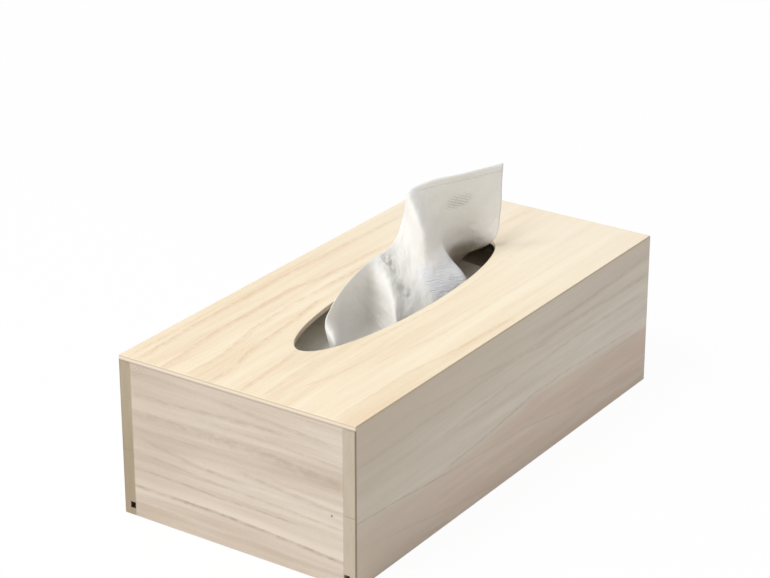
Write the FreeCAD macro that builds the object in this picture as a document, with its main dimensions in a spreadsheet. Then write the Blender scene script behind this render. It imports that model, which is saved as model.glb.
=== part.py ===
# Wooden tissue box with a sliding bottom, a stack of tissues and one tissue pulled up.
# Millimetres. X runs along the box, Y across it, Z up. The origin is the centre of the
# base, on the surface that the box stands on. The bottom slides out towards +X.
import FreeCAD, Part
import Sketcher
import os

V = FreeCAD.Vector

doc = FreeCAD.newDocument("TissueBox")

# ---------------------------------------------------------------- driving sizes
SIZES = [
    ("box_length", 260.0, "outside length of the box"),
    ("box_width", 130.0, "outside width of the box"),
    ("box_height", 80.0, "outside height of the box"),
    ("top_thickness", 2.2, "board laid over the walls"),
    ("side_thickness", 6.5, "long side boards"),
    ("end_thickness", 6.5, "end boards"),
    ("bottom_thickness", 3.0, "sliding bottom"),
    ("groove_lift", 3.2, "lower lip of the side boards, under the groove"),
    ("groove_depth", 3.0, "groove in the inner face of the side boards"),
    ("panel_play", 0.2, "gap above and below the sliding bottom in its groove"),
    ("panel_side_gap", 0.5, "gap at each side of the sliding bottom in its groove"),
    ("stop_gap", 0.3, "gap between the shut bottom and the closed end"),
    ("strip_side_gap", 0.3, "gap at each end of the strip, between the side boards"),
    ("strip_lift", 0.3, "gap between the strip and the surface below"),
    ("rabbet_depth", 3.0, "step in the strip that the bottom is glued into"),
    ("slot_length", 160.0, "long axis of the oval opening"),
    ("slot_width", 40.0, "short axis of the oval opening"),
    ("slot_easing", 0.8, "rounded rim of the opening"),
    ("edge_easing", 0.7, "rounded outer edges of the boards"),
    ("stack_end_room", 9.5, "room between each end of the stack of tissues and the end boards"),
    ("stack_side_room", 4.5, "room between each side of the stack and the side boards"),
    ("stack_height", 54.0, "stack of folded tissues"),
    ("stack_lift", 0.3, "gap between the stack and the sliding bottom"),
    ("stack_easing", 2.0, "soft edges of the stack"),
    ("sheet_width", 210.0, "tissue that stands out, across its leading edge"),
    ("sheet_thickness", 1.0, "solid that stands in for the two thin plies"),
    ("sheet_rise", 44.0, "height of the raised tissue above the top"),
    ("sheet_gap", 0.3, "gap between the tissue and the stack that it lies on"),
    ("fold_inset", 4.0, "distance from the stack's front edge to the tissue's fold"),
    ("fold_radius", 2.5, "bend of the fold"),
]

sheet = doc.addObject("Spreadsheet::Sheet", "Sizes")
for row, (alias, value, note) in enumerate(SIZES, start=1):
    sheet.set("A%d" % row, alias)
    sheet.set("B%d" % row, str(value))
    sheet.setAlias("B%d" % row, alias)
    sheet.set("C%d" % row, note)
doc.recompute()

# Sizes that follow from the driving ones, as expressions.
WALL_HEIGHT = "(Sizes.box_height - Sizes.top_thickness)"
INNER_WIDTH = "(Sizes.box_width - 2 * Sizes.side_thickness)"
GROOVE_HEIGHT = "(Sizes.bottom_thickness + 2 * Sizes.panel_play)"
GROOVE_TOP = "(Sizes.groove_lift + %s)" % GROOVE_HEIGHT
PANEL_UNDERSIDE = "(Sizes.groove_lift + Sizes.panel_play)"
PANEL_TOP = "(%s + Sizes.bottom_thickness)" % PANEL_UNDERSIDE
STACK_LENGTH = "(Sizes.box_length - 2 * Sizes.end_thickness - 2 * Sizes.stack_end_room)"
STACK_WIDTH = "(%s - 2 * Sizes.stack_side_room)" % INNER_WIDTH


# ---------------------------------------------------------------- helpers
def new_body(name):
    body = doc.addObject("PartDesign::Body", name)
    body.Label = name
    return body


def new_sketch(body, name, role):
    sketch = body.newObject("Sketcher::SketchObject", name)
    plane = [f for f in body.Origin.OriginFeatures if f.Role == role][0]
    sketch.AttachmentSupport = (plane, [""])
    sketch.MapMode = "FlatFace"
    return sketch


def drive(sketch, constraint, expression):
    index = sketch.addConstraint(constraint)
    sketch.setExpression("Constraints[%d]" % index, expression)


def add_rectangle(sketch, width, height, left=None, bottom=None):
    """A rectangle whose lower left corner is at (left, bottom), or on an axis where that is None."""
    first = sketch.GeometryCount
    corners = [V(1, 1, 0), V(2, 1, 0), V(2, 2, 0), V(1, 2, 0)]
    for i in range(4):
        sketch.addGeometry(Part.LineSegment(corners[i], corners[(i + 1) % 4]), False)
    for i in range(4):
        sketch.addConstraint(Sketcher.Constraint("Coincident", first + i, 2, first + (i + 1) % 4, 1))
    for i in (0, 2):
        sketch.addConstraint(Sketcher.Constraint("Horizontal", first + i))
        sketch.addConstraint(Sketcher.Constraint("Vertical", first + i + 1))
    if left is None:
        sketch.addConstraint(Sketcher.Constraint("PointOnObject", first, 1, -2))
    else:
        drive(sketch, Sketcher.Constraint("DistanceX", -1, 1, first, 1, 1.0), left)
    if bottom is None:
        sketch.addConstraint(Sketcher.Constraint("PointOnObject", first, 1, -1))
    else:
        drive(sketch, Sketcher.Constraint("DistanceY", -1, 1, first, 1, 1.0), bottom)
    drive(sketch, Sketcher.Constraint("DistanceX", first, 1, first, 2, 1.0), width)
    drive(sketch, Sketcher.Constraint("DistanceY", first + 1, 1, first + 1, 2, 1.0), height)


def add_pad(body, sketch, name, length):
    pad = body.newObject("PartDesign::Pad", name)
    pad.Profile = sketch
    pad.setExpression("Length", length)
    sketch.Visibility = False
    doc.recompute()
    return pad


def add_through_pocket(body, sketch, name, reverse=True):
    before = body.Shape.Volume
    pocket = body.newObject("PartDesign::Pocket", name)
    pocket.Profile = sketch
    pocket.Type = "ThroughAll"
    pocket.Reversed = reverse
    sketch.Visibility = False
    doc.recompute()
    if not body.Shape.Volume < before - 1.0:
        raise RuntimeError("%s cuts nothing" % name)
    return pocket


def add_fillet(body, base, name, wanted, radius):
    """Round the edges of base for which wanted(edge) is true."""
    fillet = body.newObject("PartDesign::Fillet", name)
    edges = ["Edge%d" % i for i, edge in enumerate(base.Shape.Edges, start=1) if wanted(edge)]
    fillet.Base = (base, edges)
    fillet.setExpression("Radius", radius)
    doc.recompute()
    return fillet


def place(thing, x="0", y="0", z="0"):
    for axis, expression in zip("xyz", (x, y, z)):
        thing.setExpression("Placement.Base.%s" % axis, expression)


def straight_along(edge, axis):
    """True where the edge is a straight line parallel to the named axis."""
    ends = edge.Vertexes
    if len(ends) != 2:
        return False
    step = ends[1].Point - ends[0].Point
    return abs(abs(getattr(step, axis)) - edge.Length) < 1e-6


def lies_at(edge, axis, value):
    return abs(getattr(edge.CenterOfMass, axis) - value) < 1e-6


# ---------------------------------------------------------------- side boards
def side_board(name):
    """Long board with the groove in its inner (+Y) face; local corner at its outer end."""
    body = new_body(name)
    profile = new_sketch(body, name + "_section", "YZ_Plane")
    add_rectangle(profile, "Sizes.side_thickness", WALL_HEIGHT)
    board = add_pad(body, profile, name + "_board", "Sizes.box_length")
    groove = new_sketch(body, name + "_groove_section", "YZ_Plane")
    add_rectangle(groove, "Sizes.groove_depth", GROOVE_HEIGHT,
                  left="Sizes.side_thickness - Sizes.groove_depth", bottom="Sizes.groove_lift")
    cut = add_through_pocket(body, groove, name + "_groove")

    def outer_edge(edge):
        upright = straight_along(edge, "z")
        lowest = straight_along(edge, "x") and lies_at(edge, "z", 0)
        return (upright or lowest) and lies_at(edge, "y", 0)

    add_fillet(body, cut, name + "_easing", outer_edge, "Sizes.edge_easing")
    return body


front_board = side_board("front_board")
place(front_board, x="-Sizes.box_length / 2", y="-Sizes.box_width / 2")

rear_board = side_board("rear_board")
rear_board.Placement.Rotation = FreeCAD.Rotation(V(0, 0, 1), 180)
place(rear_board, x="Sizes.box_length / 2", y="Sizes.box_width / 2")


# ---------------------------------------------------------------- end boards
def end_board(name, foot):
    """Board set between the side boards, from the height foot up to the top panel."""
    body = new_body(name)
    section = new_sketch(body, name + "_section", "XY_Plane")
    add_rectangle(section, "Sizes.end_thickness", INNER_WIDTH)
    add_pad(body, section, name + "_board", "%s - %s" % (WALL_HEIGHT, foot))
    return body


closed_end_board = end_board("closed_end_board", "0")
place(closed_end_board, x="-Sizes.box_length / 2", y="-%s / 2" % INNER_WIDTH)

exit_end_board = end_board("exit_end_board", GROOVE_TOP)
place(exit_end_board, x="Sizes.box_length / 2 - Sizes.end_thickness", y="-%s / 2" % INNER_WIDTH,
      z=GROOVE_TOP)


# ---------------------------------------------------------------- top panel
top_panel = new_body("top_panel")
outline = new_sketch(top_panel, "top_outline", "XY_Plane")
add_rectangle(outline, "Sizes.box_length", "Sizes.box_width")
top_board = add_pad(top_panel, outline, "top_board", "Sizes.top_thickness")

oval = new_sketch(top_panel, "oval_outline", "XY_Plane")
centre = V(sheet.box_length / 2, sheet.box_width / 2, 0)
rim = oval.addGeometry(Part.Ellipse(centre, sheet.slot_length / 2, sheet.slot_width / 2), False)
oval.exposeInternalGeometry(rim)
long_axis, short_axis = rim + 1, rim + 2
oval.addConstraint(Sketcher.Constraint("Horizontal", long_axis))
drive(oval, Sketcher.Constraint("DistanceX", -1, 1, rim, 3, centre.x), "Sizes.box_length / 2")
drive(oval, Sketcher.Constraint("DistanceY", -1, 1, rim, 3, centre.y), "Sizes.box_width / 2")
drive(oval, Sketcher.Constraint("Distance", long_axis, sheet.slot_length), "Sizes.slot_length")
drive(oval, Sketcher.Constraint("Distance", short_axis, sheet.slot_width), "Sizes.slot_width")
slot = add_through_pocket(top_panel, oval, "oval_slot")


def top_outer_edge(edge):
    level = straight_along(edge, "x") or straight_along(edge, "y")
    return straight_along(edge, "z") or (level and lies_at(edge, "z", sheet.top_thickness))


def slot_rim(edge):
    return len(edge.Vertexes) == 1 and lies_at(edge, "z", sheet.top_thickness)


eased_top = add_fillet(top_panel, slot, "top_easing", top_outer_edge, "Sizes.edge_easing")
add_fillet(top_panel, eased_top, "slot_easing", slot_rim, "Sizes.slot_easing")
place(top_panel, x="-Sizes.box_length / 2", y="-Sizes.box_width / 2", z=WALL_HEIGHT)


# ---------------------------------------------------------------- sliding bottom
bottom_panel = new_body("bottom_panel")
PANEL_LENGTH = "(Sizes.box_length - 2 * Sizes.end_thickness - Sizes.stop_gap + Sizes.rabbet_depth)"
PANEL_WIDTH = "(%s + 2 * (Sizes.groove_depth - Sizes.panel_side_gap))" % INNER_WIDTH
bottom_outline = new_sketch(bottom_panel, "bottom_outline", "XY_Plane")
add_rectangle(bottom_outline, PANEL_LENGTH, PANEL_WIDTH)
add_pad(bottom_panel, bottom_outline, "bottom_board", "Sizes.bottom_thickness")
place(bottom_panel, x="-Sizes.box_length / 2 + Sizes.end_thickness + Sizes.stop_gap",
      y="-%s / 2" % PANEL_WIDTH, z=PANEL_UNDERSIDE)

# The strip closes the exit end below the end board. A step along its inner top edge takes
# the end of the bottom panel, which is glued into it.
end_strip = new_body("end_strip")
STRIP_LENGTH = "(%s - 2 * Sizes.strip_side_gap)" % INNER_WIDTH
strip_section = new_sketch(end_strip, "strip_section", "XZ_Plane")
add_rectangle(strip_section, "Sizes.end_thickness", "%s - Sizes.strip_lift" % PANEL_TOP)
strip_bar = add_pad(end_strip, strip_section, "strip_bar", STRIP_LENGTH)
strip_bar.Reversed = True
doc.recompute()
rabbet_section = new_sketch(end_strip, "rabbet_section", "XZ_Plane")
add_rectangle(rabbet_section, "Sizes.rabbet_depth", "Sizes.bottom_thickness",
              bottom="%s - Sizes.strip_lift" % PANEL_UNDERSIDE)
add_through_pocket(end_strip, rabbet_section, "strip_rabbet", reverse=False)
place(end_strip, x="Sizes.box_length / 2 - Sizes.end_thickness", y="-%s / 2" % STRIP_LENGTH,
      z="Sizes.strip_lift")


# ---------------------------------------------------------------- tissues
stack_block = doc.addObject("Part::Box", "stack_block")
for side, size in (("Length", STACK_LENGTH), ("Width", STACK_WIDTH), ("Height", "Sizes.stack_height")):
    stack_block.setExpression(side, size)
doc.recompute()
tissue_stack = doc.addObject("Part::Fillet", "tissue_stack")
tissue_stack.Label = "tissue_stack"
tissue_stack.Base = stack_block
tissue_stack.Edges = [(i, sheet.stack_easing, sheet.stack_easing)
                      for i, edge in enumerate(stack_block.Shape.Edges, start=1)
                      if not straight_along(edge, "z")]
place(tissue_stack, x="-%s / 2" % STACK_LENGTH, y="-%s / 2" % STACK_WIDTH,
      z="%s + Sizes.stack_lift" % PANEL_TOP)

# The raised tissue is a thin closed form through rows of points, from its leading edge down
# through the opening to its fold, which lies on the stack. x and y are fractions of the
# opening's half length and half width. z is a fraction of sheet_rise above the top, and,
# where it is negative, of the depth from the top down to the stack.
CLOTH_ROWS = [
    # leading edge: up from the left end of the opening, over the hollow, up the ridge, along the flap
    [(-0.78, -0.05, -0.10), (-0.74, -0.10, 0.27), (-0.42, 0.23, 0.40), (-0.07, 0.45, 0.42),
     (0.16, 0.53, 0.47), (0.30, 0.50, 0.95), (0.45, 0.40, 0.97), (0.66, 0.03, 1.00), (0.97, -0.45, 0.98)],
    # hollow on the left, a pleat in the middle, the ridge, and the flap on the right
    [(-0.80, -0.15, -0.20), (-0.64, -0.05, 0.07), (-0.29, 0.30, 0.07), (-0.21, -0.20, 0.33),
     (0.09, 0.05, 0.22), (0.23, -0.07, 0.67), (0.50, 0.20, 0.46), (0.76, 0.08, 0.37), (0.96, -0.42, 0.38)],
    # near the level of the top, with the lower edge of the flap on the right
    [(-0.81, -0.20, -0.28), (-0.54, -0.07, -0.40), (-0.25, 0.07, -0.44), (-0.31, -0.65, 0.17),
     (0.03, -0.40, 0.02), (0.29, -0.25, 0.31), (0.56, 0.00, 0.15), (0.80, 0.02, 0.10), (0.92, -0.42, 0.08)],
    # below the top, drawn back under the flap on the right
    [(-0.79, -0.25, -0.45), (-0.52, -0.30, -0.70), (-0.30, -0.40, -0.72), (-0.33, -0.85, -0.20),
     (-0.01, -0.80, -0.34), (0.39, -0.62, -0.15), (0.60, -0.10, -0.35), (0.80, 0.48, -0.50), (0.94, 0.50, -0.58)],
    # between the opening and the fold
    [(-1.02, -1.60, -0.78), (-0.82, -1.70, -0.80), (-0.56, -1.80, -0.80), (-0.36, -1.80, -0.78),
     (0.00, -1.80, -0.76), (0.38, -1.80, -0.74), (0.60, -1.60, -0.76), (0.86, -1.10, -0.78), (1.06, -1.00, -0.78)],
]


CLOTH_STEPS = 2


def cloth_point(x, y, z, stack_top):
    span = sheet.sheet_rise if z >= 0 else sheet.box_height - stack_top
    return V(x * sheet.slot_length / 2, y * sheet.slot_width / 2, sheet.box_height + z * span)


def smooth(points):
    """The points with CLOTH_STEPS - 1 more between each two, on a smooth curve through them all."""
    around = [points[0]] + list(points) + [points[-1]]
    curve = []
    for before, start, end, after in zip(around, around[1:], around[2:], around[3:]):
        for step in range(CLOTH_STEPS):
            t = step / CLOTH_STEPS
            bend = before * 2 - start * 5 + end * 4 - after
            twist = start * 3 - before - end * 3 + after
            curve.append(start + ((end - before) * t + bend * t ** 2 + twist * t ** 3) * 0.5)
    return curve + [points[-1]]


def behind(grid, row, column):
    """Unit vector across the cloth at one point of its grid, away from the side that shows."""
    above, below = grid[max(row - 1, 0)][column], grid[min(row + 1, len(grid) - 1)][column]
    left, right = grid[row][max(column - 1, 0)], grid[row][min(column + 1, len(grid[0]) - 1)]
    return (right - left).cross(below - above).normalize()


def quad(a, b, c, d):
    return [Part.Face(Part.makePolygon([a, b, c, a])), Part.Face(Part.makePolygon([a, c, d, a]))]


def thin_cloth(front, thickness):
    """Closed solid whose shown side is the grid front, with the thickness behind it."""
    back = [[point + behind(front, i, j) * thickness for j, point in enumerate(row)]
            for i, row in enumerate(front)]
    down, along = len(front) - 1, len(front[0]) - 1
    faces = []
    for i in range(down):
        for j in range(along):
            cell = [(i, j), (i, j + 1), (i + 1, j + 1), (i + 1, j)]
            faces += quad(*[back[m][n] for m, n in cell])
            faces += quad(*[front[m][n] for m, n in reversed(cell)])
    hem = [(0, j) for j in range(along)] + [(i, along) for i in range(down)]
    hem += [(down, j) for j in range(along, 0, -1)] + [(i, 0) for i in range(down, 0, -1)]
    for (i, j), (m, n) in zip(hem, hem[1:] + hem[:1]):
        faces += quad(front[i][j], front[m][n], back[m][n], back[i][j])
    return Part.Solid(Part.Shell(faces))


doc.recompute()
stack_top = tissue_stack.Shape.BoundBox.ZMax
rest_level = stack_top + sheet.sheet_gap
fold_y = tissue_stack.Shape.BoundBox.YMin + sheet.fold_inset
net = [[cloth_point(x, y, z, stack_top) for x, y, z in row] for row in CLOTH_ROWS]
# The fold, and then the flat half on the stack, which ends as far from the stack's back edge.
last = len(CLOTH_ROWS[0]) - 1
for y, z in ((2, 2), (0, 1), (2, 0)):
    net.append([V(sheet.sheet_width * (i / last - 0.5), fold_y + y * sheet.fold_radius,
                  rest_level + z * sheet.fold_radius) for i in range(last + 1)])
columns = [smooth(column) for column in zip(*net)]
grid = [smooth(row) for row in zip(*columns)]
grid.append([V(point.x, -fold_y, point.z) for point in grid[-1]])
tissue_sheet = doc.addObject("Part::Feature", "tissue_sheet")
tissue_sheet.Label = "tissue_sheet"
tissue_sheet.Shape = thin_cloth(grid, sheet.sheet_thickness)

parts = [top_panel, front_board, rear_board, closed_end_board, exit_end_board, bottom_panel,
         end_strip, tissue_stack, tissue_sheet]

# ---------------------------------------------------------------- check and write
doc.recompute()
for thing in doc.Objects:
    if "Invalid" in thing.State or "Error" in thing.State:
        raise RuntimeError("%s failed: %s" % (thing.Name, thing.State))
os.makedirs("parts", exist_ok=True)
for part in parts:
    shape = part.Shape
    if shape.isNull() or not shape.isValid() or shape.Volume <= 0:
        raise RuntimeError("%s has no valid shape" % part.Label)
    box = shape.BoundBox
    print("%-18s %d solid  %9.1f mm3  x %.2f..%.2f  y %.2f..%.2f  z %.2f..%.2f" % (
        part.Label, len(shape.Solids), shape.Volume, box.XMin, box.XMax, box.YMin, box.YMax,
        box.ZMin, box.ZMax))
for part in parts:
    part.Shape.exportStep("parts/%s.step" % part.Label)
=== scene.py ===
import math

import bpy
import numpy as np
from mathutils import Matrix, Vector


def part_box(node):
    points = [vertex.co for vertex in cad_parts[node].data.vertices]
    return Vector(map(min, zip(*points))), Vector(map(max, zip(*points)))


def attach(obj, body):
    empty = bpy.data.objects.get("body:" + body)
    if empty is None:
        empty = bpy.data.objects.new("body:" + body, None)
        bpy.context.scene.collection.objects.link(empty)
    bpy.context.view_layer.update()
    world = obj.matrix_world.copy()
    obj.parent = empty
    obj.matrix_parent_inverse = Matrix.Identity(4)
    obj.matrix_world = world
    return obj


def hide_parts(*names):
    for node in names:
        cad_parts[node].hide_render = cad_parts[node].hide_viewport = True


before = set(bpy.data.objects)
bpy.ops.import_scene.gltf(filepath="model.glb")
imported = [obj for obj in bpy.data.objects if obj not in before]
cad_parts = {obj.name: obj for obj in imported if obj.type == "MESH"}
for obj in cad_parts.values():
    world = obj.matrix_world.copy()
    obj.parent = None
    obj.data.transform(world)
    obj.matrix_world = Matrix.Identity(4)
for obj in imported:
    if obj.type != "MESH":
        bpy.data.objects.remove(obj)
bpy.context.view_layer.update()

MM = 0.001
X, Y, Z = 0, 1, 2
rng = np.random.default_rng(7)


# ---------------------------------------------------------------- the frame's places, in millimetres
def corners(node):
    """The low and the high corner of a CAD node."""
    low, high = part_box(node)
    return Vector(low) / MM, Vector(high) / MM


top_low, top_high = corners("top_panel")
bottom_low, bottom_high = corners("bottom_panel")
stack_low, stack_high = corners("tissue_stack")
END = top_high.x        # the end faces are at -END and END
TOP = top_high.z
SEAM = top_low.z        # underside of the top board
INNER = corners("closed_end_board")[1].y    # inner faces of the side boards, at -INNER and INNER


# ---------------------------------------------------------------- node graphs
class Graph:
    """A small builder for one material's nodes. Every call returns an output socket."""

    def __init__(self, name):
        self.material = bpy.data.materials.new(name)
        self.material.use_nodes = True
        self.nodes = self.material.node_tree.nodes
        self.links = self.material.node_tree.links
        self.nodes.clear()
        self.output = self.nodes.new("ShaderNodeOutputMaterial")

    def feed(self, socket, value):
        if isinstance(value, bpy.types.NodeSocket):
            self.links.new(value, socket)
        elif value is not None:
            socket.default_value = value

    def math(self, operation, a, b=None):
        node = self.nodes.new("ShaderNodeMath")
        node.operation = operation
        for socket, value in zip(node.inputs, (a, b)):
            self.feed(socket, value)
        return node.outputs[0]

    def chain(self, operation, values):
        total = values[0]
        for value in values[1:]:
            total = self.math(operation, total, value)
        return total

    def add(self, *values):
        return self.chain("ADD", values)

    def mul(self, *values):
        return self.chain("MULTIPLY", values)

    def largest(self, *values):
        return self.chain("MAXIMUM", values)

    def absolute(self, value):
        return self.math("ABSOLUTE", value)

    def step(self, value, low, high, start=0.0, end=1.0):
        """start below low, end above high, smooth between."""
        node = self.nodes.new("ShaderNodeMapRange")
        node.interpolation_type = "SMOOTHSTEP"
        for socket, number in zip(node.inputs[:5], (value, low, high, start, end)):
            self.feed(socket, number)
        return node.outputs[0]

    def between(self, value, low, rise, fall, high):
        """1 from rise to fall, 0 below low and above high, smooth between."""
        return self.mul(self.step(value, low, rise), self.step(value, fall, high, 1.0, 0.0))

    def path(self, u, points):
        """The height over u of a line through the given (u, height) points."""
        total = points[0][1]
        for (u0, height0), (u1, height1) in zip(points, points[1:]):
            node = self.nodes.new("ShaderNodeMapRange")
            for socket, value in zip(node.inputs[:5], (u, u0, u1, 0.0, height1 - height0)):
                self.feed(socket, value)
            total = self.add(node.outputs[0], total)
        return total

    def axes(self, vector):
        node = self.nodes.new("ShaderNodeSeparateXYZ")
        self.feed(node.inputs[0], vector)
        return node.outputs[0], node.outputs[1], node.outputs[2]

    def vector(self, x, y, z):
        node = self.nodes.new("ShaderNodeCombineXYZ")
        for socket, value in zip(node.inputs, (x, y, z)):
            self.feed(socket, value)
        return node.outputs[0]

    def place(self):
        """Where the point is on the object, in millimetres."""
        node = self.nodes.new("ShaderNodeTexCoord")
        scale = self.nodes.new("ShaderNodeVectorMath")
        scale.operation = "SCALE"
        self.feed(scale.inputs[0], node.outputs["Object"])
        scale.inputs["Scale"].default_value = 1.0 / MM
        return self.axes(scale.outputs[0])

    def normal(self):
        node = self.nodes.new("ShaderNodeTexCoord")
        return self.axes(node.outputs["Normal"])

    def reach(self, place, centre):
        """How far, in millimetres, the point is from the centre."""
        node = self.nodes.new("ShaderNodeVectorMath")
        node.operation = "DISTANCE"
        self.feed(node.inputs[0], self.vector(*place))
        self.feed(node.inputs[1], centre)
        return node.outputs["Value"]

    def noise(self, vector, scale=1.0, detail=2.0, roughness=0.5, distortion=0.0):
        node = self.nodes.new("ShaderNodeTexNoise")
        for name, value in (("Vector", vector), ("Scale", scale), ("Detail", detail),
                            ("Roughness", roughness), ("Distortion", distortion)):
            self.feed(node.inputs[name], value)
        return node.outputs["Fac"]

    def cells(self, vector, scale):
        node = self.nodes.new("ShaderNodeTexVoronoi")
        self.feed(node.inputs["Vector"], vector)
        node.inputs["Scale"].default_value = scale
        return node.outputs["Distance"]

    def ramp(self, value, stops):
        node = self.nodes.new("ShaderNodeValToRGB")
        elements = node.color_ramp.elements
        while len(elements) < len(stops):
            elements.new(0.5)
        for element, (position, colour) in zip(elements, stops):
            element.position = position
        for element, (position, colour) in zip(elements, stops):
            element.color = (*colour, 1.0)
        self.feed(node.inputs[0], value)
        return node.outputs[0]

    def mix(self, factor, a, b):
        node = self.nodes.new("ShaderNodeMix")
        node.data_type = "RGBA"
        self.feed(node.inputs[0], factor)
        for socket, colour in ((node.inputs[6], a), (node.inputs[7], b)):
            if hasattr(colour, "__len__") and not isinstance(colour, bpy.types.NodeSocket):
                colour = (*colour, 1.0)
            self.feed(socket, colour)
        return node.outputs[2]

    def bump(self, height, distance, strength):
        node = self.nodes.new("ShaderNodeBump")
        node.inputs["Strength"].default_value = strength
        node.inputs["Distance"].default_value = distance
        self.feed(node.inputs["Height"], height)
        return node.outputs[0]

    def surface(self, colour, roughness, normal, **sockets):
        node = self.nodes.new("ShaderNodeBsdfPrincipled")
        self.feed(node.inputs["Base Color"], colour)
        self.feed(node.inputs["Roughness"], roughness)
        self.feed(node.inputs["Normal"], normal)
        for name, value in sockets.items():
            node.inputs[name.replace("_", " ")].default_value = value
        self.links.new(node.outputs[0], self.output.inputs["Surface"])
        return self.material


def srgb(red, green, blue):
    """Linear colour of a display colour given in 0..255."""
    parts = [c / 255.0 for c in (red, green, blue)]
    return tuple(c / 12.92 if c <= 0.04045 else ((c + 0.055) / 1.055) ** 2.4 for c in parts)


# ---------------------------------------------------------------- bare wood
STREAK_LEAD, STREAK_TAIL = 9.0, 5.0     # a growth line fades in and out over this stretch at each end


def streak(g, u, v, points, upper, lower, depth):
    """One growth line: 0..depth, fading over upper mm above it and lower mm below it."""
    away = g.math("SUBTRACT", v, g.path(u, points))
    side = g.math("MINIMUM", g.step(away, -lower, 0.0), g.step(away, 0.0, upper, 1.0, 0.0))
    first, last = points[0][0], points[-1][0]
    return g.mul(side, depth, g.between(u, first - STREAK_LEAD, first + STREAK_TAIL,
                                        last - STREAK_TAIL, last + STREAK_LEAD))


def wood(name, along, across, third, tones, streaks, stain, seed, finish, bands=(1.0, 0.5, 0.25),
         waver=1.0):
    """Bare sanded wood. along is the axis (0, 1 or 2) of its grain, across the one that its
    growth lines are stacked on. tones are its pale, middle and dark colour. streaks are single
    growth lines in the colour stain. bands weigh the broad, the middle and the fine bands, and
    waver how far the lines wander. finish is a function that paints what only this board shows."""
    g = Graph(name)
    place = g.place()
    u, v, w = place[along], place[across], place[third]

    def field(per_u, per_v, shift, detail, roughness=0.5, height=v):
        """Noise with lumps 1 / per_u mm long and 1 / per_v mm high."""
        where = g.vector(g.mul(u, per_u), g.mul(height, per_v), seed + shift)
        return g.noise(where, 1.0, detail, roughness)

    def swing(noise, amount):
        """The noise, centred on 0 and scaled."""
        return g.mul(g.add(noise, -0.5), amount)

    # the lines' course: near wavers in short ripples, bent wanders on top of that
    near = g.add(v, swing(field(0.045, 0.09, 3.1, 2.0), 3.2 * waver),
                 swing(field(0.40, 0.60, 7.7, 2.0), 1.8 * waver))
    bent = g.add(near, swing(field(0.011, 0.020, 0.0, 1.5), 6.0))
    # broad, middle and fine bands, then fibres and speckle
    broad = field(0.006, 0.075, 11.0, 1.0, 0.4, bent)
    middle = field(0.014, 0.24, 14.0, 1.0, 0.5, bent)
    fine = field(0.030, 0.75, 17.0, 2.0, 0.6, bent)
    fibre = g.noise(g.vector(g.mul(u, 0.09), g.mul(bent, 3.0), g.mul(w, 0.3)), 1.0, 2.0, 0.6)
    speckle = field(0.8, 1.9, 23.0, 2.0, 0.6)
    weight = sum(bands)
    tone = g.add(*[swing(layer, share / weight * 2.0) for layer, share in zip((broad, middle, fine), bands)],
                 swing(fibre, 0.14), swing(speckle, 0.34), 0.5)
    pale, mid, dark = tones
    colour = g.ramp(tone, [(0.20, dark), (0.50, mid), (0.78, pale)])
    # the placed growth lines, each broken and uneven along its run
    broken = field(0.16, 0.40, 31.0, 3.0, 0.65)
    total = g.largest(*[streak(g, u, near, *line) for line in streaks])
    total = g.mul(total, g.step(broken, 0.32, 0.62, 0.30, 1.0))
    colour = g.mix(total, colour, stain)
    # pores: short fine dashes along the grain, thickest in the growth lines
    dash = field(0.26, 4.6, 41.0, 0.0, 0.5, near)
    pores = g.mul(g.step(dash, 0.62, 0.74), g.add(g.mul(total, 1.1), 0.26))
    colour = g.mix(g.mul(pores, 0.42), colour, tuple(c * 0.62 for c in dark))
    colour = finish(g, colour, place, near)
    height = g.add(g.mul(fibre, 0.5), g.mul(fine, 0.25), g.mul(pores, -0.7))
    roughness = g.add(g.mul(fibre, 0.10), 0.58)
    return g.surface(colour, roughness, g.bump(height, 0.00012, 0.55), Specular_IOR_Level=0.28)


def facing(g, axis, low=0.75, high=0.92):
    """1 where the face looks along the axis, either way."""
    return g.step(g.absolute(g.normal()[axis]), low, high)


def rings(g, radius, spacing, width):
    """1 on thin rings that lie spacing mm apart, fading over width mm on both sides."""
    away = g.absolute(g.add(g.math("PINGPONG", radius, spacing), -spacing / 2))
    return g.step(away, 0.0, width, 1.0, 0.0)


def end_grain(g, place):
    """End grain of a side board, a little darker than its faces."""
    y, z = place[Y], place[Z]
    speck = g.noise(g.vector(g.mul(y, 2.5), g.mul(z, 1.2), 2.0), 1.0, 2.0, 0.6)
    cloud = g.noise(g.vector(g.mul(y, 0.35), g.mul(z, 0.06), 8.0), 1.0, 2.0)
    base = g.mix(g.mul(speck, 0.5), srgb(191, 177, 156), srgb(177, 162, 139))
    base = g.mix(g.step(cloud, 0.42, 0.62, 0.0, 0.4), base, srgb(172, 157, 131))
    # the front board's end is paler, the rear board's darker
    base = g.mix(g.step(y, -10.0, 10.0, 0.35, 0.0), base, srgb(198, 186, 170))
    rear = g.mul(g.step(y, 0.0, 10.0), g.step(z, 30.0, 62.0, 0.62, 0.38))
    base = g.mix(rear, base, srgb(152, 133, 106))
    # ring arcs round a point above the inner corner, and one growth line straight across
    radius = g.reach((0.0, g.absolute(y), z), (0.0, INNER - 0.5, TOP + 2.0))
    arcs = g.mul(rings(g, radius, 2.4, 0.35), g.step(radius, 6.0, 9.0, 0.26, 0.0))
    line = g.step(g.absolute(g.add(z, g.mul(y, 0.02), -34.4)), 0.15, 0.6, 0.34, 0.0)
    return g.mix(g.largest(arcs, line), base, srgb(150, 134, 108))


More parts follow.
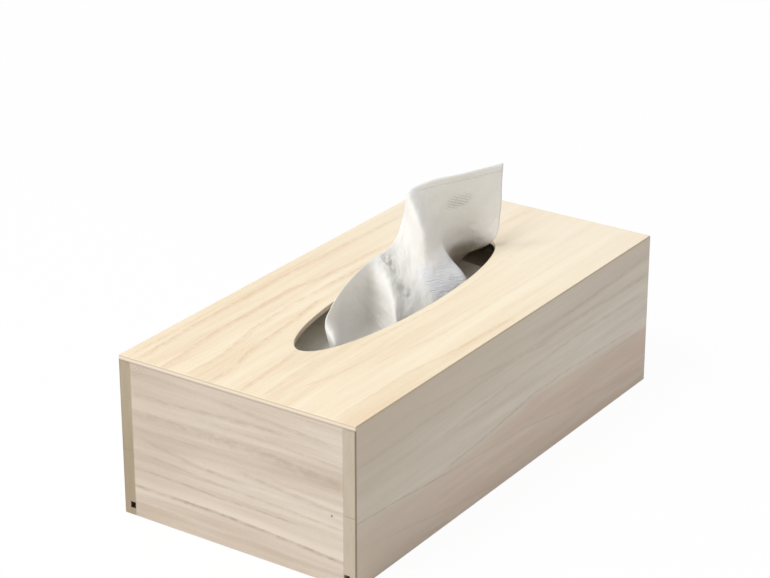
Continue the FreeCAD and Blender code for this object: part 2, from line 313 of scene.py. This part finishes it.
# bounds of the zones on the side boards, as (x, z) points in millimetres
WARM_BOUND = [(-129.0, 33.0), (-72.0, 28.0), (-27.0, 31.5), (20.0, 36.5), (81.0, 35.0), (112.0, 33.5)]
RIDGE_LINE = [(-127.0, 40.5), (-47.0, 40.5), (126.0, 33.5)]
TAN_BOUND = [(-128.0, 62.0), (-83.0, 63.0), (-28.0, 58.0), (40.0, 66.0)]


def side_zones(g, colour, place, near):
    """Warmer wood low down and, in front only, a light ridge, a darker left end and a tan patch."""
    x, y = place[X], place[Y]
    front = g.step(y, -1.0, 1.0, 1.0, 0.0)
    below = g.step(g.math("SUBTRACT", near, g.path(x, WARM_BOUND)), -5.0, 0.5, 1.0, 0.0)
    patchy = g.noise(g.vector(g.mul(x, 0.02), g.mul(near, 0.22), 63.0), 1.0, 2.0, 0.5)
    colour = g.mix(g.mul(below, g.step(patchy, 0.35, 0.62, 0.42, 0.86)), colour, srgb(212, 190, 172))
    ridge = g.absolute(g.math("SUBTRACT", near, g.path(x, RIDGE_LINE)))
    colour = g.mix(g.mul(g.step(ridge, 0.5, 4.0, 0.28, 0.0), front), colour, srgb(230, 220, 204))
    colour = g.mix(g.mul(g.step(x, -130.0, -40.0, 0.42, 0.0), front), colour, srgb(192, 179, 160))
    above = g.step(g.math("SUBTRACT", near, g.path(x, TAN_BOUND)), -9.0, 5.0)
    return g.mix(g.mul(above, g.step(x, -60.0, 60.0, 0.60, 0.15), front), colour, srgb(204, 188, 168))


def painted_groove_shade(g, place):
    """1 inside the groove for the bottom, near the ends of the board, where the groove's shade is painted."""
    x, y, z = g.absolute(place[X]), g.absolute(place[Y]), place[Z]
    inside = g.step(y, bottom_high.y + 0.6, bottom_high.y + 0.9, 1.0, 0.0)
    floor, roof = bottom_low.z, bottom_high.z
    level = g.between(z, floor - 0.4, floor - 0.3, roof + 0.35, roof + 0.55)
    return g.mul(inside, level, g.between(x, END - 9.0, END - 7.5, END - 0.4, END - 0.2))


def finish_side(g, colour, place, near):
    colour = side_zones(g, colour, place, near)
    colour = g.mix(facing(g, X), colour, end_grain(g, place))
    # a darker line on the rounded corner between face and end, and the joint under the top board
    normal = g.normal()
    corner = g.mul(g.step(g.absolute(g.mul(normal[X], normal[Y])), 0.05, 0.22), 0.82)
    colour = g.mix(corner, colour, srgb(126, 110, 86))
    joint = g.mul(g.step(place[Z], SEAM - 0.7, SEAM - 0.2), facing(g, X))
    colour = g.mix(g.mul(joint, 0.45), colour, srgb(130, 114, 88))
    # painted shade: the groove's inside near the board's ends is nearly black, for the deep unlit hole
    return g.mix(g.mul(painted_groove_shade(g, place), 0.93), colour, srgb(52, 38, 20))


KNOT = (0.0, -52.2, 33.6)               # one small dark speck on the end boards
SMUDGE = (0.0, INNER - 0.5, TOP)        # middle of faint rings in an upper corner


def finish_end(g, colour, place, near):
    y, z = place[Y], place[Z]
    # the paler band just over the long growth line, and a browner far half
    over = g.math("SUBTRACT", near, g.path(y, END_LINE))
    colour = g.mix(g.mul(g.between(over, 0.3, 1.5, 2.5, 7.0), 0.5), colour, srgb(228, 216, 198))
    colour = g.mix(g.mul(g.step(y, 5.0, 50.0, 0.0, 0.30), g.step(z, 14.0, 18.0)), colour, srgb(188, 168, 148))
    # the joints beside the side boards and under the top board
    side = g.step(g.absolute(y), INNER - 0.6, INNER - 0.05)
    top = g.step(z, SEAM - 0.9, SEAM - 0.2)
    colour = g.mix(g.mul(g.largest(side, top), 0.34), colour, srgb(134, 116, 92))
    speck = g.step(g.reach((0.0, y, z), KNOT), 0.3, 0.8, 1.0, 0.0)
    colour = g.mix(g.mul(speck, 0.75), colour, srgb(96, 72, 50))
    radius = g.reach((0.0, y, z), SMUDGE)
    arcs = g.mul(rings(g, g.add(radius, -3.0), 1.5, 0.4), g.between(radius, 4.0, 5.5, 8.0, 11.0))
    return g.mix(g.mul(arcs, 0.26), colour, srgb(150, 130, 112))


def finish_top(g, colour, place, near):
    x, y, z = place
    # the smooth cream stretch beside the opening
    cream = g.mul(g.step(g.add(y, g.mul(x, -0.10)), -14.0, -34.0), g.step(y, -63.0, -48.0))
    colour = g.mix(g.mul(cream, 0.35), colour, srgb(252, 240, 214))
    # cooler and paler toward the far end
    colour = g.mix(g.step(x, -20.0, 110.0, 0.0, 0.45), colour, srgb(252, 241, 223))
    # the long edges darker, more so toward the left end, with a brown line along their upper rim
    long_edge_tone = g.mix(g.step(x, -118.0, 20.0), srgb(203, 188, 168), srgb(212, 199, 180))
    long_edge_tone = g.mix(g.step(z, TOP - 1.1, TOP - 0.5, 0.0, 0.75), long_edge_tone, srgb(184, 163, 133))
    colour = g.mix(facing(g, Y, 0.45, 0.7), colour, long_edge_tone)
    # the edges at the ends: a painted highlight line half way up, where the rounded edge catches the light, a
    # painted shadow line at the rim, and the joint
    end_edge = facing(g, X, 0.45, 0.7)
    painted_highlight_line = g.step(g.absolute(g.add(z, 1.1 - TOP)), 0.12, 0.42, 0.75, 0.0)
    band = g.mix(painted_highlight_line, srgb(222, 205, 183), srgb(238, 226, 208))
    # painted shadow line along the rim, between the top face and the edge band
    band = g.mix(g.step(z, TOP - 0.65, TOP - 0.4, 0.0, 0.6), band, srgb(190, 170, 140))
    colour = g.mix(end_edge, colour, band)
    joint = g.mul(g.step(z, SEAM + 0.15, SEAM + 0.4, 1.0, 0.0), end_edge)
    return g.mix(g.mul(joint, 0.45), colour, srgb(140, 122, 96))


def finish_bottom(g, colour, place, near):
    """The edge that goes in first is painted dark as shade, where it shows through the groove's end."""
    edge = g.mul(g.step(place[X], bottom_low.x + 0.1, bottom_low.x + 0.4, 1.0, 0.0), facing(g, X))
    return g.mix(g.mul(edge, 0.9), colour, srgb(60, 45, 26))


# pale, middle and dark colour of each kind of board
TOP_TONES = (srgb(248, 235, 209), srgb(243, 226, 197), srgb(236, 213, 182))
END_TONES = (srgb(219, 206, 190), srgb(209, 194, 178), srgb(196, 179, 161))
SIDE_TONES = (srgb(225, 215, 199), srgb(216, 205, 189), srgb(207, 193, 176))
# the long growth line low on the end boards, as (y, z) points in whole millimetres
END_LINE = [(-58, 12), (-31, 14), (-9, 15), (14, 16), (58, 16)]

# growth lines, in whole mm: (points along the grain, mm faded above, mm faded below, depth)
TOP_STREAKS = [
    ([(-126, 60), (-70, 60)], 1.2, 1.6, 0.40),
    ([(-125, 55), (-88, 57), (-10, 57), (80, 54)], 1.2, 3.6, 0.50),
    ([(-128, 40), (-87, 44), (-30, 45), (-6, 41), (50, 38)], 1.2, 4.2, 0.52),
    ([(-127, 27), (-107, 26), (-74, 32), (-40, 34), (20, 32)], 1.2, 4.2, 0.46),
    ([(-127, 14), (-112, 14), (-91, 19), (-55, 22), (-31, 26)], 1.1, 3.8, 0.52),
    ([(-127, -3), (-102, -1), (-80, 1)], 1.1, 3.8, 0.46),
    ([(-126, -14), (-84, -11)], 1.1, 3.0, 0.32),
    ([(-112, -23), (-94, -27), (-75, -30), (-30, -31)], 1.0, 2.4, 0.34),
    ([(-61, -20), (3, -25), (90, -19)], 1.0, 2.0, 0.34),
    ([(-74, -36), (-28, -43), (100, -44)], 0.8, 2.2, 0.46),
    ([(-46, -37), (42, -40), (96, -38)], 0.8, 1.6, 0.34),
    ([(-123, -53), (-73, -53), (-39, -58), (0, -60)], 0.9, 2.4, 0.46),
    ([(10, -52), (60, -54), (120, -52)], 0.9, 2.4, 0.34),
    ([(56, 33), (100, 27), (126, 25)], 1.2, 3.5, 0.38),
    ([(84, 8), (126, 3)], 1.0, 3.2, 0.36),
    ([(76, 48), (124, 43)], 1.0, 3.2, 0.40),
    ([(64, -31), (124, -34)], 0.9, 2.4, 0.30),
]
END_STREAKS = [
    (END_LINE, 1.0, 1.7, 0.66),
    ([(-34, 24), (10, 24), (42, 25), (58, 25)], 0.7, 1.1, 0.42),
    ([(-24, 66), (6, 65), (37, 63), (57, 63)], 1.6, 2.6, 0.34),
    ([(-57, 50), (-32, 52), (-13, 54), (58, 54)], 2.2, 5.0, 0.38),
    ([(-1, 35), (20, 36), (48, 40)], 1.4, 2.0, 0.34),
    ([(3, 30), (31, 32), (58, 34)], 0.9, 1.4, 0.28),
    ([(-56, 36), (-30, 38), (-4, 40)], 1.6, 2.4, 0.30),
    ([(-56, 28), (-6, 30)], 1.0, 1.8, 0.24),
    ([(-47, 68), (-20, 70), (7, 72)], 1.2, 2.6, 0.26),
    ([(-57, 58), (-20, 60), (20, 60)], 1.0, 1.8, 0.22),
    ([(20, 46), (57, 46)], 0.9, 1.8, 0.26),
]
SIDE_STREAKS = [
    ([(-130, 33), (-99, 31), (-36, 25), (9, 22), (47, 16), (126, 8)], 0.5, 0.9, 0.56),
    ([(-125, 19), (-104, 16), (-55, 8), (-11, 2)], 0.6, 1.0, 0.46),
    ([(-128, 59), (-83, 60), (44, 61), (124, 59)], 2.6, 1.4, 0.26),
    ([(-55, 30), (-27, 32), (20, 37), (45, 37), (112, 34)], 0.4, 1.9, 0.36),
    ([(-126, 68), (-88, 69), (-37, 65), (30, 59)], 1.6, 1.4, 0.26),
    ([(95, 25), (107, 22), (118, 21)], 0.7, 0.7, 0.44),
    ([(88, 30), (120, 30)], 0.6, 1.2, 0.34),
    ([(-122, 8), (-60, 2)], 1.0, 1.6, 0.30),
    ([(-60, 47), (-10, 50), (60, 52), (122, 50)], 2.0, 1.4, 0.20),
    ([(20, 66), (70, 67), (126, 69)], 2.4, 1.6, 0.24),
    ([(30, 26), (84, 24)], 0.6, 1.4, 0.30),
]
BOTTOM_STREAKS = [
    ([(-120, -30), (120, -26)], 1.0, 3.0, 0.3),
    ([(-120, 12), (120, 20)], 1.0, 3.0, 0.3),
]

top_wood = wood("paulownia_top", X, Y, Z, TOP_TONES, TOP_STREAKS, srgb(223, 188, 157),
                bands=(1.0, 0.6, 0.5), waver=0.5, seed=2.0, finish=finish_top)
end_wood = wood("paulownia_end", Y, Z, X, END_TONES, END_STREAKS, srgb(158, 137, 116),
                bands=(1.0, 0.7, 0.4), waver=0.25, seed=5.0, finish=finish_end)
side_wood = wood("paulownia_side", X, Z, Y, SIDE_TONES, SIDE_STREAKS, srgb(160, 136, 112),
                 bands=(1.0, 0.6, 0.4), waver=0.35, seed=9.0, finish=finish_side)
bottom_wood = wood("paulownia_bottom", X, Y, Z, END_TONES, BOTTOM_STREAKS, srgb(176, 154, 130),
                   seed=13.0, finish=finish_bottom)

WOODS = {"top_panel": top_wood, "front_board": side_wood, "rear_board": side_wood,
         "closed_end_board": end_wood, "exit_end_board": end_wood,
         "bottom_panel": bottom_wood, "end_strip": end_wood}
for node, material in WOODS.items():
    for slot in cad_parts[node].material_slots:
        slot.material = material


# ---------------------------------------------------------------- mesh helpers
def mesh_piece(name, points, faces, body, material):
    mesh = bpy.data.meshes.new(name)
    mesh.from_pydata([tuple(p) for p in points], [], faces)
    mesh.materials.append(material)
    mesh.polygons.foreach_set("use_smooth", [True] * len(mesh.polygons))
    mesh.validate()
    mesh.update()
    piece = bpy.data.objects.new(name, mesh)
    bpy.context.scene.collection.objects.link(piece)
    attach(piece, body)
    return piece


def smooth_through(points, count):
    """count points along a smooth curve through the given ones (first axis of the array)."""
    points = np.asarray(points, float)
    place = np.linspace(0, len(points) - 1, count)
    index = np.minimum(place.astype(int), len(points) - 2)
    t = (place - index).reshape(-1, *([1] * (points.ndim - 1)))
    around = np.concatenate([[2 * points[0] - points[1]], points, [2 * points[-1] - points[-2]]])
    p0, p1, p2, p3 = (around[index + k] for k in range(4))
    return 0.5 * (2 * p1 + (p2 - p0) * t + (2 * p0 - 5 * p1 + 4 * p2 - p3) * t ** 2
                  + (3 * p1 - p0 - 3 * p2 + p3) * t ** 3)


def value_noise(u, v, seed):
    """Smooth random field in -1..1 over two coordinate arrays, one lump per unit."""
    cells = 64      # the field repeats after this many lumps
    table = np.random.default_rng(seed).uniform(-1, 1, (cells, cells))
    iu, iv = np.floor(u).astype(int), np.floor(v).astype(int)
    fu, fv = u - iu, v - iv
    fu, fv = fu * fu * (3 - 2 * fu), fv * fv * (3 - 2 * fv)

    def at(a, b):
        return table[a % cells, b % cells]

    near = at(iu, iv) * (1 - fu) + at(iu + 1, iv) * fu
    far = at(iu, iv + 1) * (1 - fu) + at(iu + 1, iv + 1) * fu
    return near * (1 - fv) + far * fv


# ---------------------------------------------------------------- the drawn-up tissue
REST = stack_high.z + 0.35      # level of the paper where it lies on the stack
# Places along the sheet from the left end of the opening to the right end of the flap, in
# whole millimetres. At each one: the leading edge, the shoulder, the waist, and the throat
# where the paper goes down through the opening.
SHEET = [
    # the low lip at the left end of the opening
    [(-66, -8, 74), (-66, -9, 72), (-65, -10, 70), (-62, -10, 68)],
    [(-65, -3, 87), (-65, -8, 83), (-61, -9, 77), (-55, -10, 70)],
    # the dome, which leans back and rolls over to the front
    [(-57, -1, 93), (-43, 4, 79), (-33, 5, 67), (-38, -4, 65)],
    [(-42, 3, 96), (-28, 8, 81), (-18, 6, 67), (-28, -6, 66)],
    [(-25, 6, 98), (-17, 8, 85), (-17, 2, 75), (-25, -10, 69)],
    # the bowl between the dome and the flap
    [(-8, 9, 98), (-12, 0, 93), (-20, -9, 86), (-26, -16, 76)],
    [(5, 10, 98), (0, 2, 90), (-8, -8, 82), (-16, -15, 75)],
    [(14, 11, 101), (8, 1, 90), (4, -8, 81), (0, -15, 74)],
    # the ridge, where the sheet turns up into the flap
    [(21, 12, 109), (14, 1, 96), (12, -7, 86), (12, -15, 75)],
    [(23, 11, 120), (18, -1, 107), (20, -6, 93), (27, -14, 79)],
    # the flap, whose foot swings to the back of the opening
    [(32, 10, 122), (34, 4, 103), (34, -2, 91), (38, -12, 78)],
    [(42, 6, 123), (48, 5, 97), (52, 6, 83), (66, 11, 68)],
    [(54, 0, 123), (61, 2, 98), (67, 4, 83), (72, 12, 68)],
    [(78, -9, 123), (76, -9, 97), (72, -8, 84), (76, 11, 70)],
]
ALONG, DOWN = 300, 140          # points along the leading edge, and from it down to the fold
FLAT_ROWS = 14                  # rows of the half that lies flat on the stack
FOLD_WIDTH = 208.0
FOLD_INSET = 4.0                # from the stack's front edge to the fold
FLAT_END = 5.0                  # it ends this far short of the fold's mirror image behind
PLY_THICKNESS = 0.35
# where the paper is crumpled beside the pleat, and how far that reaches
CRUMPLES = ((Vector((-2, 5, 95)), 6.0), (Vector((-6, -5, 85)), 5.0))
CRUMPLE_HEIGHT = 1.5


def lower_rows(throat, fold_x, fold_y):
    """From the throat forward and down to the fold, and round it onto the stack."""
    rise = 0.2 * max(throat.z - 66.0, 0.0)
    return [Vector((throat.x * 0.97 + fold_x * 0.03, throat.y - 3.0, max(throat.z - 4.0, REST + 2.5))),
            Vector((throat.x * 0.7 + fold_x * 0.3, min(throat.y - 14.0, -25.0), REST + 1.5 + rise)),
            Vector((fold_x, fold_y + 5.0, REST + 5.0)),
            Vector((fold_x, fold_y, REST + 2.5)),
            Vector((fold_x, fold_y + 5.0, REST + 0.3))]


def tissue_grid():
    """Points of the sheet: smooth through SHEET and the rows below it, then flat on the stack."""
    fold_y = stack_low.y + FOLD_INSET
    columns = []
    for number, column in enumerate(SHEET):
        fold_x = FOLD_WIDTH * (number / (len(SHEET) - 1) - 0.5)
        points = [Vector(point) for point in column]
        columns.append([tuple(p) for p in points + lower_rows(points[-1], fold_x, fold_y)])
    across = smooth_through(np.array(columns), ALONG)
    grid = np.swapaxes(smooth_through(np.swapaxes(across, 0, 1), DOWN), 0, 1)
    step_back = np.array([0.0, (-2 * fold_y - FLAT_END) / FLAT_ROWS, 0.0])
    flat = [grid[:, -1:, :] + step_back * k for k in range(1, FLAT_ROWS + 1)]
    return np.concatenate([grid] + flat, axis=1)


def grid_normals(grid):
    du, dv = np.gradient(grid, axis=0), np.gradient(grid, axis=1)
    normal = np.cross(du, dv)
    return normal / (np.linalg.norm(normal, axis=2, keepdims=True) + 1e-9)


def crinkled(grid):
    """The grid with fine crinkles all over, which fade toward the leading edge, and the crumples."""
    along = np.cumsum(np.linalg.norm(np.diff(grid[:, 0], axis=0, prepend=grid[:1, 0]), axis=1))[:, None]
    down = np.cumsum(np.linalg.norm(np.diff(grid, axis=1, prepend=grid[:, :1]), axis=2), axis=1)
    along = np.broadcast_to(along, down.shape)
    crinkle = (0.34 * value_noise(along / 9.0, down / 6.0, 1) + 0.16 * value_noise(along / 3.6, down / 2.9, 2)
               + 0.07 * value_noise(along / 1.7, down / 1.5, 3))
    folds = 0.5 * value_noise(along / 2.2, down / 2.2, 4) + 0.5 * value_noise(along / 1.2, down / 1.2, 5)
    for centre, reach in CRUMPLES:
        near = np.exp(-np.sum((grid - np.array(centre)) ** 2, axis=2) / reach ** 2)
        crinkle = crinkle + near * CRUMPLE_HEIGHT * folds
    return grid + grid_normals(grid) * (crinkle * np.clip(down / 4.0, 0.25, 1.0))[..., None]


def tissue_paper():
    g = Graph("tissue_paper")
    x, y, z = g.place()
    spots = g.cells(g.vector(x, g.mul(y, 0.6), z), 0.62)
    weave = g.noise(g.vector(x, y, z), 2.2, 3.0, 0.7)
    creases = g.noise(g.vector(x, g.mul(y, 1.4), z), 0.42, 3.0, 0.6, 0.6)
    # a small patch of pressed dots on the flap, and the hem along its top edge
    in_patch = g.mul(g.between(x, 46.0, 52.5, 57.5, 64.0), g.between(z, 103.0, 106.5, 109.5, 113.0))
    lattice = g.mul(g.math("SINE", g.mul(g.add(x, g.mul(z, 0.5)), 2.9)),
                    g.math("SINE", g.mul(g.add(z, g.mul(x, -0.35)), 2.9)))
    dots = g.mul(g.step(lattice, 0.15, 0.75), in_patch)
    hem_line = g.mul(g.step(g.absolute(g.add(z, -119.2)), 0.0, 0.5, 1.0, 0.0), g.step(x, 28.0, 34.0))
    # fine folds that run from front to back across the bowl
    left_of_hollow = g.step(x, 36.0, 46.0, 1.0, 0.0)
    bowl = g.mul(g.step(x, 4.0, 14.0), left_of_hollow, g.step(z, 94.0, 86.0), g.step(y, -2.0, -5.0))
    level = g.add(g.mul(z, 1.5), g.mul(y, 0.35), g.mul(x, 0.25))
    ripples = g.noise(g.vector(g.add(g.mul(x, 0.09), g.mul(y, -0.14)), level, 4.0), 1.0, 2.0, 0.6, 0.3)
    crumple = g.largest(*[g.step(g.reach((x, y, z), centre), 3.0, 7.5, 1.0, 0.0)
                          for centre, _ in CRUMPLES])
    pinched = g.noise(g.vector(x, y, z), 0.85, 3.0, 0.65, 0.8)
    height = g.add(g.mul(g.step(spots, 0.10, 0.42), 0.2), g.mul(weave, 0.4), g.mul(creases, 0.8),
                   g.mul(dots, 2.4), g.mul(hem_line, -1.0), g.mul(ripples, bowl, 2.0),
                   g.mul(pinched, crumple, 5.0))
    tint = g.noise(g.vector(x, y, z), 0.03, 1.0)
    colour = g.mix(tint, srgb(243, 241, 236), srgb(239, 236, 229))
    # a painted cool bluish tint on the bowl, for the sky light that falls on it
    colour = g.mix(g.mul(bowl, 0.6), colour, srgb(233, 237, 246))
    # a brown tint on the part that lies down in the opening, for the wood's shade
    shade = g.mul(g.step(x, 36.0, 46.0), g.step(z, 86.0, 77.0))
    colour = g.mix(g.mul(shade, 0.6), colour, srgb(162, 142, 114))
    # the hem along the flap's top edge, paler, and partly a painted highlight where the edge catches the
    # light
    hem_and_highlight = g.mul(g.step(z, 121.6, 122.6), g.step(x, 20.0, 26.0))
    colour = g.mix(g.mul(hem_and_highlight, 0.8), colour, srgb(250, 248, 243))
    # the pressed dots darker, partly as denser paper and partly as painted shade of the embossing
    colour = g.mix(g.mul(dots, 0.34), colour, srgb(220, 211, 200))
    # painted highlight between the pressed dots, where the raised paper catches the light
    dot_gap_highlight = g.step(lattice, -0.75, -0.15, 1.0, 0.0)
    colour = g.mix(g.mul(dot_gap_highlight, in_patch, 0.6), colour, srgb(252, 250, 246))
    return g.surface(colour, 0.88, g.bump(height, 0.00022, 1.0), Specular_IOR_Level=0.18,
                     Sheen_Weight=0.08, Sheen_Roughness=0.5, Subsurface_Weight=0.10,
                     Subsurface_Scale=0.0015, Subsurface_Radius=(1.0, 1.0, 1.0))


grid = crinkled(tissue_grid())
wide, deep = grid.shape[:2]
faces = [(i * deep + j, (i + 1) * deep + j, (i + 1) * deep + j + 1, i * deep + j + 1)
         for i in range(wide - 1) for j in range(deep - 1)]
sheet = mesh_piece("drawn_up_tissue", grid.reshape(-1, 3) * MM, faces, "box", tissue_paper())
body = sheet.modifiers.new("two_plies", "SOLIDIFY")
body.thickness = PLY_THICKNESS * MM
body.offset = 0.0
body.use_even_offset = False
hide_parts("tissue_sheet")


# ---------------------------------------------------------------- the stack of tissues
LAYERS = 34
LAYER_STEPS = 40        # stretches along one layer
LAYER_INSET = 0.6       # the layers stop this far inside the stack's solid
# section of one folded layer: (share of its half width, share of its height)
LAYER_SECTION = [(-1.0, 0.5), (-0.994, 0.16), (-0.975, 0.02), (0.975, 0.02), (0.994, 0.16), (1.0, 0.5),
                 (0.994, 0.84), (0.975, 0.96), (-0.975, 0.96), (-0.994, 0.84)]


def folded_pack():
    """Thin folded sheets lying on each other, with soft folds in front and behind."""
    points, faces = [], []
    pitch = (stack_high.z - stack_low.z) / LAYERS
    half_x = (stack_high.x - stack_low.x) / 2 - LAYER_INSET
    half_y = (stack_high.y - stack_low.y) / 2 - LAYER_INSET
    size = len(LAYER_SECTION)
    for layer in range(LAYERS):
        dx, dy = rng.uniform(-0.5, 0.5), rng.uniform(-0.45, 0.45)
        length, width = half_x + rng.uniform(-0.3, 0.2), half_y + rng.uniform(-0.3, 0.2)
        base = stack_low.z + layer * pitch
        start = len(points)
        for i in range(LAYER_STEPS + 1):
            x = dx + length * (2 * i / LAYER_STEPS - 1)
            waver = 0.22 * math.sin(i * 0.55 + layer * 1.7) + 0.12 * math.sin(i * 1.3 + layer * 4.1)
            sag = 0.06 * math.sin(i * 0.8 + layer)
            for across, up in LAYER_SECTION:
                y = dy + width * across + math.copysign(1.0, across) * waver
                points.append((x, y, base + up * pitch + sag))
        for i in range(LAYER_STEPS):
            for k in range(size):
                a, b = start + i * size + k, start + i * size + (k + 1) % size
                faces.append((a, b, b + size, a + size))
        faces.append(tuple(start + k for k in reversed(range(size))))
        faces.append(tuple(start + LAYER_STEPS * size + k for k in range(size)))
    return np.array(points) * MM, faces


def stacked_paper():
    g = Graph("stacked_paper")
    x, y, z = g.place()
    leaves = g.noise(g.vector(g.mul(x, 0.02), g.mul(y, 0.02), g.mul(z, 2.4)), 1.0, 2.0)
    soft = g.noise(g.vector(x, y, z), 1.8, 3.0, 0.7)
    edge = g.step(g.absolute(g.normal()[Z]), 0.3, 0.8, 1.0, 0.0)
    lines = g.mul(g.step(leaves, 0.40, 0.60), edge, 0.5)
    colour = g.mix(lines, srgb(243, 241, 238), srgb(206, 202, 196))
    return g.surface(colour, 0.9, g.bump(g.add(leaves, g.mul(soft, 0.5)), 0.00025, 0.5),
                     Specular_IOR_Level=0.15)


points, faces = folded_pack()
pack = mesh_piece("folded_tissues", points, faces, "box", stacked_paper())
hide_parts("tissue_stack")


# ---------------------------------------------------------------- floor, light and camera
FLOOR_HALF = 6.0                # metres
FLOOR_DROP = 0.0003             # the floor lies this far under the box, in metres
FLOOR_GLOW = 0.95               # share of plain white that the camera sees on the floor
AMBIENT_COLOUR, AMBIENT_STRENGTH = (0.97, 0.985, 1.0, 1.0), 0.56
LIGHTS_AIM = Vector((0.0, 0.0, 0.06))
CAMERA_PLACE = (-0.8868, -0.5937, 0.5422)
CAMERA_WAY = (0.7596, 0.5156, -0.3965)
SENSOR_WIDTH, FOCAL_LENGTH = 36.0, 114.24       # millimetres


def floor_white():
    """Pale matt floor that looks almost white to the camera and keeps a faint shadow."""
    g = Graph("floor_white")
    diffuse = g.nodes.new("ShaderNodeBsdfDiffuse")
    diffuse.inputs["Color"].default_value = (0.90, 0.90, 0.90, 1.0)
    glow = g.nodes.new("ShaderNodeEmission")
    glow.inputs["Color"].default_value = (1.0, 1.0, 1.0, 1.0)
    rays = g.nodes.new("ShaderNodeLightPath")
    blend = g.nodes.new("ShaderNodeMixShader")
    g.feed(blend.inputs[0], g.mul(rays.outputs["Is Camera Ray"], FLOOR_GLOW))
    g.links.new(diffuse.outputs[0], blend.inputs[1])
    g.links.new(glow.outputs[0], blend.inputs[2])
    g.links.new(blend.outputs[0], g.output.inputs["Surface"])
    return g.material


def lay_floor():
    signs = ((-1, -1), (1, -1), (1, 1), (-1, 1))
    mesh = bpy.data.meshes.new("floor")
    mesh.from_pydata([(a * FLOOR_HALF, b * FLOOR_HALF, -FLOOR_DROP) for a, b in signs], [], [(0, 1, 2, 3)])
    mesh.materials.append(floor_white())
    floor = bpy.data.objects.new("floor", mesh)
    bpy.context.scene.collection.objects.link(floor)


def light_world():
    """Soft light from all round, and plain white for what the camera sees directly, in a
    reflection or through glass."""
    world = bpy.data.worlds.new("studio")
    bpy.context.scene.world = world
    world.use_nodes = True
    tree = world.node_tree
    tree.nodes.clear()
    ambient, white = tree.nodes.new("ShaderNodeBackground"), tree.nodes.new("ShaderNodeBackground")
    ambient.inputs["Color"].default_value = AMBIENT_COLOUR
    ambient.inputs["Strength"].default_value = AMBIENT_STRENGTH
    white.inputs["Strength"].default_value = 1.0
    rays = tree.nodes.new("ShaderNodeLightPath")
    seen = rays.outputs["Is Camera Ray"]
    for kind in ("Is Transmission Ray", "Is Glossy Ray"):
        either = tree.nodes.new("ShaderNodeMath")
        either.operation = "MAXIMUM"
        tree.links.new(seen, either.inputs[0])
        tree.links.new(rays.outputs[kind], either.inputs[1])
        seen = either.outputs[0]
    choice, final = tree.nodes.new("ShaderNodeMixShader"), tree.nodes.new("ShaderNodeOutputWorld")
    tree.links.new(seen, choice.inputs[0])
    tree.links.new(ambient.outputs[0], choice.inputs[1])
    tree.links.new(white.outputs[0], choice.inputs[2])
    tree.links.new(choice.outputs[0], final.inputs[0])


def softbox(name, direction, distance, size, power):
    """Square area light that looks at the box from the given direction."""
    way = Vector(direction).normalized()
    lamp = bpy.data.lights.new(name, "AREA")
    lamp.shape = "SQUARE"
    lamp.size = size
    lamp.energy = power
    light = bpy.data.objects.new(name, lamp)
    light.location = way * distance + LIGHTS_AIM
    light.rotation_euler = way.to_track_quat("Z", "Y").to_euler()
    bpy.context.scene.collection.objects.link(light)


def set_camera():
    """The photograph's viewing angle."""
    lens = bpy.data.cameras.new("camera")
    lens.sensor_width = SENSOR_WIDTH
    lens.lens = FOCAL_LENGTH
    camera = bpy.data.objects.new("camera", lens)
    camera.location = CAMERA_PLACE
    camera.rotation_euler = Vector(CAMERA_WAY).to_track_quat("-Z", "Y").to_euler()
    bpy.context.scene.collection.objects.link(camera)
    bpy.context.scene.camera = camera


lay_floor()
light_world()
softbox("key", (-0.53, 0.20, 0.82), 2.2, 1.24, 31.2)
softbox("left_fill", (-0.95, -0.12, 0.28), 2.0, 1.2, 1.0)
set_camera()
bpy.context.scene.view_settings.view_transform = "Standard"
